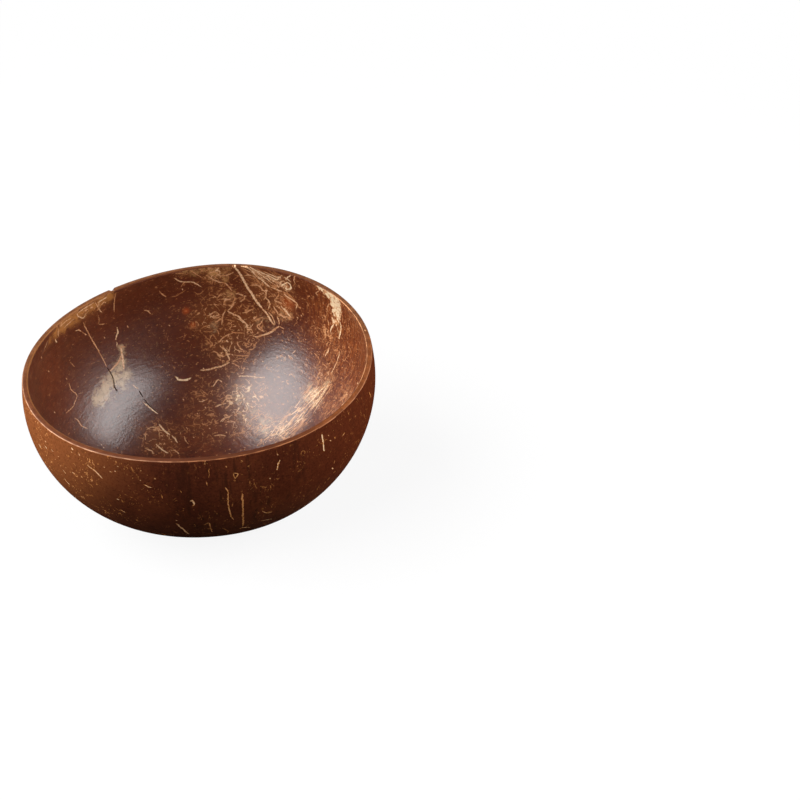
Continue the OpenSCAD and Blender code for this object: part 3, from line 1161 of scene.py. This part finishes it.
def tangle_mask(recipe, place):
    """Fine fibres in the tangles: two sizes of curly lines, each broken into short pieces."""
    wide = broken_lines(recipe, place, *WIDE_CURLS)
    close = broken_lines(recipe, place, *CLOSE_CURLS)
    return recipe.times(recipe.largest(wide, close), recipe.strength("tangles"), 0.95)


def bundle_mask(recipe, place, name, turn, strongest):
    """Fibres that lie side by side: curly lines, drawn out along the run of their bundle."""
    along = recipe.stretched(place, (6, 1, 1), turn)
    thick = curl_lines(recipe, along, *THICK_FIBRES)
    thin = broken_lines(recipe, along, *THIN_FIBRES)
    return recipe.times(recipe.largest(thick, thin), recipe.strength(name), strongest)


def dash_mask(recipe, place, longer, strength):
    """Short fibres all over: curly lines, broken into pieces and drawn out a little."""
    drawn_out = recipe.stretched(place, longer)
    return recipe.times(broken_lines(recipe, drawn_out, *SHORT_FIBRES), strength)


def fleck_mask(recipe, place, longer, strength):
    """Small specks all over, drawn out a little."""
    drawn_out = recipe.stretched(place, longer)
    small = recipe.fit(recipe.noise(drawn_out, *SMALL_FLECKS), 0.64, 0.76)
    large = recipe.fit(recipe.noise(drawn_out, *LARGE_FLECKS), 0.66, 0.73)
    return recipe.times(recipe.largest(small, large), strength)


CREAM = colour(250, 222, 180)
TAN = colour(204, 138, 88)
DRY_TAN = colour(212, 138, 74)


def marked(recipe, ground, pale, faint):
    """A ground with the pale marks on it: tan where they are faint and cream where they are strong."""
    fibre = recipe.blend(recipe.fit(pale, 0.42, 0.92), faint, CREAM)
    return recipe.blend(recipe.fit(pale, 0.08, 0.56), ground, fibre)


print("masks for tangles, bundles, short fibres and flecks")

# %% [markdown]
# ## The oiled inside
# The hollow was sanded, oiled and buffed to a satin gloss. Its colour is built up in thin coats, as a
# finisher glazes wood: mottled, scratched round the bowl by sanding, darker at the back, paler in front,
# and warm and streaky on the right wall. The gloss is a clear coat over a rough ground, because the oil
# lies on top of the colour. The dry husk near the rim has no coat.

# %% The inside's ground
MOTTLE = (3.0 * MM, 5.0, 0.7)
INNER_CLOUD = (26 * MM, 3.0)
WARM_THREADS = (1.0 * MM, 3.0, 0.7)


def inside_ground(recipe, place, mottle, sanding, grain):
    across, deep, _ = recipe.parts(place)
    cloud = recipe.noise(place, *INNER_CLOUD)
    threads = recipe.noise(recipe.stretched(place, (1, 1, 7)), *WARM_THREADS)
    nut = recipe.blend(recipe.fit(cloud, 0.35, 0.65), colour(86, 32, 12), colour(105, 43, 17))
    warm = recipe.blend(recipe.fit(threads, 0.42, 0.66), colour(106, 45, 16), colour(168, 92, 42))
    ground = recipe.painted(
        nut,
        (mottle, 0.45, 0.72, 0.60, colour(126, 67, 34)),
        (sanding, 0.48, 0.70, 0.40, colour(58, 25, 14)),
        (deep, 8 * MM, 50 * MM, 0.45, colour(74, 30, 13)),
        (recipe.strength("tangles"), 0.0, 1.0, 0.60, colour(138, 79, 38)),
        (recipe.strength("web"), 0.0, 1.0, 0.36, colour(134, 74, 34)),
        (deep, -6 * MM, -36 * MM, 0.50, colour(138, 80, 48)),
        (across, 34 * MM, 58 * MM, 0.68, warm),
        (grain, 0.50, 0.30, 0.42, colour(46, 15, 6)),
        (grain, 0.54, 0.72, 0.18, colour(154, 80, 40)),
    )
    return recipe.blend(recipe.strength("embers"), ground, colour(182, 78, 26))


def inside_marks(recipe, place):
    """The palest of all the marks inside. Flecks and short fibres lie closer towards the right."""
    across = recipe.parts(place)["X"]
    flecks = recipe.fit(across, -26 * MM, 4 * MM, 0.3, 0.42)
    in_bundle = recipe.times(recipe.strength("bundle"), 0.95)
    fibres = recipe.largest(recipe.fit(across, -30 * MM, 10 * MM, 0.22, 0.46), in_bundle)
    right_wall = recipe.fit(across, 26 * MM, 50 * MM, 0.0, 0.5)
    return recipe.largest(
        strand_mask(recipe, place),
        stain_mask(recipe, place),
        tangle_mask(recipe, place),
        bundle_mask(recipe, place, "web", web_turn, 0.7),
        bundle_mask(recipe, place, "bundle", bundle_turn, 0.8),
        fleck_mask(recipe, place, (2.6, 2.6, 1), flecks),
        dash_mask(recipe, place, (1.3, 1.3, 1), fibres),
        dash_mask(recipe, place, (1, 1, 2.6), right_wall),
    )


print("mottle of about", MOTTLE[0] / MM, "mm")


# %% The inside's gloss
SANDING = (1.0 * MM, 3.0, 0.6)
INNER_GRAIN = (0.8 * MM, 2.0, 0.7)
GOLD = colour(186, 122, 60)
PALE_GOLD = colour(226, 170, 106)
# The cream of the clouds low in the hollow: the husk's own pale colour, made paler still as a painted
# highlight for the stain on the left, which lies in the gloss.
PALE_HUSK_AND_HIGHLIGHT = colour(214, 182, 140)
CRACK_BROWN = colour(70, 46, 34)


def oiled_inside():
    material, recipe = new_material("oiled_inside")
    place = recipe.place()
    across, _, up = recipe.parts(place)
    mottle = recipe.noise(place, *MOTTLE)
    sanding = recipe.noise(recipe.stretched(place, (9, 9, 1)), *SANDING)
    grain = recipe.noise(recipe.stretched(place, (1.6, 1.6, 1)), *INNER_GRAIN)
    near_rim = recipe.fit(up, 36 * MM, 58 * MM)
    golden = recipe.blend(recipe.fit(across, -24 * MM, -4 * MM), GOLD, PALE_GOLD)
    husk_and_highlight = recipe.blend(near_rim, PALE_HUSK_AND_HIGHLIGHT, golden)
    clouds = cloud_mask(recipe, place)
    ground = recipe.blend(clouds, inside_ground(recipe, place, mottle, sanding, grain), husk_and_highlight)
    pale = inside_marks(recipe, place)
    aside, half, _ = recipe.stored("cracks")
    gap = recipe.math("SUBTRACT", half, recipe.math("ABSOLUTE", aside))
    skin = marked(recipe, ground, pale, TAN)
    dry = recipe.times(clouds, near_rim)
    relief = recipe.relief(recipe.math("ADD", mottle, sanding, grain), 0.6)
    recipe.surface({
        "Base Color": recipe.blend(recipe.fit(gap, -0.12, 0.05), skin, CRACK_BROWN),
        "Roughness": recipe.math("ADD", recipe.fit(pale, 0.0, 1.0, 0.29, 0.40), recipe.times(dry, 0.25)),
        "Specular IOR Level": 0.6,
        "Normal": relief,
        "Coat Weight": recipe.fit(dry, 0.0, 0.6, 1.0, 0.0),
        "Coat Roughness": 0.27,
        "Coat Normal": relief,
    })
    return material


inside_finish = oiled_inside()
print("oiled inside:", len(inside_finish.node_tree.nodes), "nodes")

# %% [markdown]
# ## The dry outside
# The outside was only sanded, so it is dry and shows no highlight. Its colour is painted paler towards
# the left, as painted light from the lamp on that side, and it is more speckled there, streaked with dark
# lines in front, and dull towards the foot.

# %% The outside's ground and finish
# The painted light on the left side: the height about which it leans, and how much it leans.
LIT_SIDE_LEVEL = 46 * MM
LIT_SIDE_LEAN = 0.5
OUTER_CLOUD = (20 * MM, 3.0)
OUTER_GRAIN = (0.8 * MM, 2.0, 0.6)
STREAKS = (2.4 * MM, 3.0, 0.6)
SPECK_CLUSTERS = (8 * MM, 2.0)


def dry_surface(recipe, skin, mottle, shine, depth):
    recipe.surface({
        "Base Color": skin,
        "Roughness": recipe.fit(mottle, 0.3, 0.7, 0.5, 0.65),
        "Specular IOR Level": shine,
        "Normal": recipe.relief(mottle, depth),
    })


def outside_ground(recipe, place, mottle):
    across, _, up = recipe.parts(place)
    cloud = recipe.noise(place, *OUTER_CLOUD)
    grain = recipe.noise(place, *OUTER_GRAIN)
    # The left side is painted paler, as painted light from the left lamp; higher up the pale reaches further
    # round.
    lit_side_lean = recipe.times(recipe.math("SUBTRACT", up, LIT_SIDE_LEVEL), LIT_SIDE_LEAN)
    ground = recipe.painted(
        recipe.blend(recipe.fit(cloud, 0.35, 0.65), colour(77, 36, 23), colour(94, 46, 28)),
        (across, 0.0, 66 * MM, 0.85, colour(84, 36, 18)),
        (recipe.math("SUBTRACT", across, lit_side_lean), -25 * MM, -66 * MM, 1.00, colour(138, 79, 44)),
        (mottle, 0.50, 0.72, 0.40, colour(112, 58, 30)),
        (grain, 0.50, 0.30, 0.40, colour(38, 17, 9)),
        (grain, 0.54, 0.72, 0.16, colour(128, 66, 36)),
    )
    streaks = recipe.noise(recipe.stretched(place, (1, 1, 14)), *STREAKS)
    not_left = recipe.fit(across, -30 * MM, 0.0, 0.0, 0.6)
    not_right = recipe.fit(across, 14 * MM, 44 * MM, 1.0, 0.3)
    streaks = recipe.times(recipe.fit(streaks, 0.5, 0.68), not_left, not_right)
    ground = recipe.blend(streaks, ground, colour(46, 25, 17))
    return recipe.painted(ground, (up, 50 * MM, 6 * MM, 0.75, colour(77, 49, 38)))


def dry_outside():
    material, recipe = new_material("dry_outside")
    place = recipe.place()
    mottle = recipe.noise(place, *MOTTLE)
    leftness = recipe.fit(recipe.parts(place)["X"], -20 * MM, -50 * MM, 0.24, 0.46)
    clusters = recipe.fit(recipe.noise(place, *SPECK_CLUSTERS), 0.42, 0.6, 0.4, 1.2)
    specks = recipe.times(leftness, clusters)
    pale = recipe.largest(
        strand_mask(recipe, place),
        fleck_mask(recipe, place, (1, 1, 2.0), specks),
        dash_mask(recipe, place, (1, 1, 1.6), recipe.times(specks, 1.1)),
    )
    skin = marked(recipe, outside_ground(recipe, place, mottle), pale, DRY_TAN)
    dry_surface(recipe, skin, mottle, shine=0.0, depth=0.25)
    return material


outside_finish = dry_outside()
print("dry outside:", len(outside_finish.node_tree.nodes), "nodes")

# %% [markdown]
# ## The sawn lip
# The saw left a flat lip between the two sides. A hair of paler wood runs along its outer edge in front,
# painted paler still towards the left as a painted highlight, and its inner edge at the right carries a
# painted highlight; both are broken into pieces. The edges are found by the way the surface faces:
# outwards, away from the axis, on the outer edge and the other way on the inner.

# %% The lip's ground and finish
# Noise that breaks the pale outer edge and the painted highlights on both edges into pieces, and the edge
# colours.
LIP_BREAKS = (5 * MM, 4.0, 0.6)
EDGE_BROWN = colour(176, 112, 70)
EDGE_HIGHLIGHT = colour(222, 168, 130)
WALL_BROWN = colour(84, 40, 20)
WALL_GOLD = colour(150, 96, 52)


def facing_out(recipe, place):
    """1 where the surface faces away from the bowl's axis, 0 where it faces up, -1 towards the axis."""
    across, deep, _ = recipe.parts(place)
    level = recipe.node("CombineXYZ", {"X": across, "Y": deep}).outputs[0]
    away = recipe.node("VectorMath", {0: level}, operation="NORMALIZE").outputs[0]
    normal = recipe.node("NewGeometry").outputs["Normal"]
    return recipe.node("VectorMath", {0: normal, 1: away}, operation="DOT_PRODUCT").outputs["Value"]


def sawn_lip():
    material, recipe = new_material("sawn_lip")
    place = recipe.place()
    across, deep, _ = recipe.parts(place)
    outwards = facing_out(recipe, place)
    mottle = recipe.noise(place, *MOTTLE)
    patchy = recipe.fit(recipe.noise(place, *LIP_BREAKS), 0.4, 0.6, 0.35, 1.0)
    in_front = recipe.fit(deep, 12 * MM, -8 * MM)
    front = recipe.painted(
        colour(90, 47, 26),
        (across, 8 * MM, -56 * MM, 1.0, colour(116, 65, 38)),
        (across, 20 * MM, 52 * MM, 1.0, colour(142, 80, 42)),
    )
    ground = recipe.blend(in_front, colour(130, 82, 50), front)
    ground = recipe.painted(ground, (mottle, 0.65, 0.40, 0.5, colour(74, 34, 17)))
    # The outer edge in front: a hair of paler wood, and towards the left a painted highlight where the left
    # lamp glints.
    outer_edge_and_highlight = recipe.times(recipe.fit(outwards, 0.4, 0.68), patchy, in_front)
    edge = recipe.blend(recipe.fit(across, 0.0, -42 * MM), EDGE_BROWN, EDGE_HIGHLIGHT)
    ground = recipe.blend(outer_edge_and_highlight, ground, edge)
    wall_side = recipe.blend(recipe.fit(across, -20 * MM, -45 * MM), WALL_BROWN, WALL_GOLD)
    ground = recipe.painted(ground, (outwards, -0.1, -0.5, 0.8, wall_side))
    # The inner edge at the right: a painted highlight where a lamp glints on the eased edge.
    at_right = recipe.times(recipe.fit(across, 47 * MM, 57 * MM, 0.0, 0.95), patchy)
    inner_edge_highlight = recipe.times(recipe.fit(outwards, -0.3, -0.6), at_right)
    ground = recipe.blend(inner_edge_highlight, ground, colour(230, 164, 114))
    skin = marked(recipe, ground, strand_mask(recipe, place), TAN)
    dry_surface(recipe, skin, mottle, shine=0.15, depth=0.3)
    return material


lip_finish = sawn_lip()
print("sawn lip:", len(lip_finish.node_tree.nodes), "nodes")

# %% [markdown]
# ## Which face gets which finish
# The lip is what lies close under the rim's height and faces up. Of the rest, what faces away from the
# middle of the hollow is outside. The faces are selected and given their slot, as by hand in edit mode.

# %% Give each side and the lip its finish
LIP_HEIGHT = 0.8 * MM
LIP_SLOPE = 0.6
LIP_INNER_SLOPE = 0.3
INSIDE, OUTSIDE, LIP = range(3)
for finish in (inside_finish, outside_finish, lip_finish):
    shell_body.data.materials.append(finish)


def finish_of(face):
    centre = face.calc_center_median()
    away = Vector((centre.x, centre.y, 0))
    slope = LIP_SLOPE if face.normal.dot(away) > 0 else LIP_INNER_SLOPE
    if centre.z > cad_high.z - LIP_HEIGHT and face.normal.z > slope:
        return LIP
    return OUTSIDE if face.normal.dot(centre - middle) > 0 else INSIDE


activate(shell_body)
bpy.ops.object.mode_set(mode="EDIT")
for slot in (OUTSIDE, LIP):
    select(shell_body, "FACE", lambda face: finish_of(face) == slot)
    shell_body.active_material_index = slot
    bpy.ops.object.material_slot_assign()
bpy.ops.object.mode_set(mode="OBJECT")
slots = [face.material_index for face in shell_body.data.polygons]
print("faces inside, outside and on the lip:", [slots.count(slot) for slot in (INSIDE, OUTSIDE, LIP)])

# %% [markdown]
# ## Handing over
# Smooth shading hides the facets, but an edge that bends by more than an angle stays crisp, as in the
# chip. Then the solid shell is hidden and the mesh is hung on the body's empty in its place, so that only
# one of the two shows.

# %% Hand it over
SMOOTH_ANGLE = math.radians(40)
activate(shell_body)
bpy.ops.object.shade_smooth_by_angle(angle=SMOOTH_ANGLE)
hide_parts("shell")
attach(shell_body, "root")
print(shell_body.name, "takes the place of the solid shell")

# %% [markdown]
# ## Sizes
# The dressed bowl has to keep the solid's size, so both boxes are written down side by side.

# %% Write both boxes and finish
seen_low, seen_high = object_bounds()
print("dressed model's box in mm:", in_mm((*seen_low, *seen_high)))
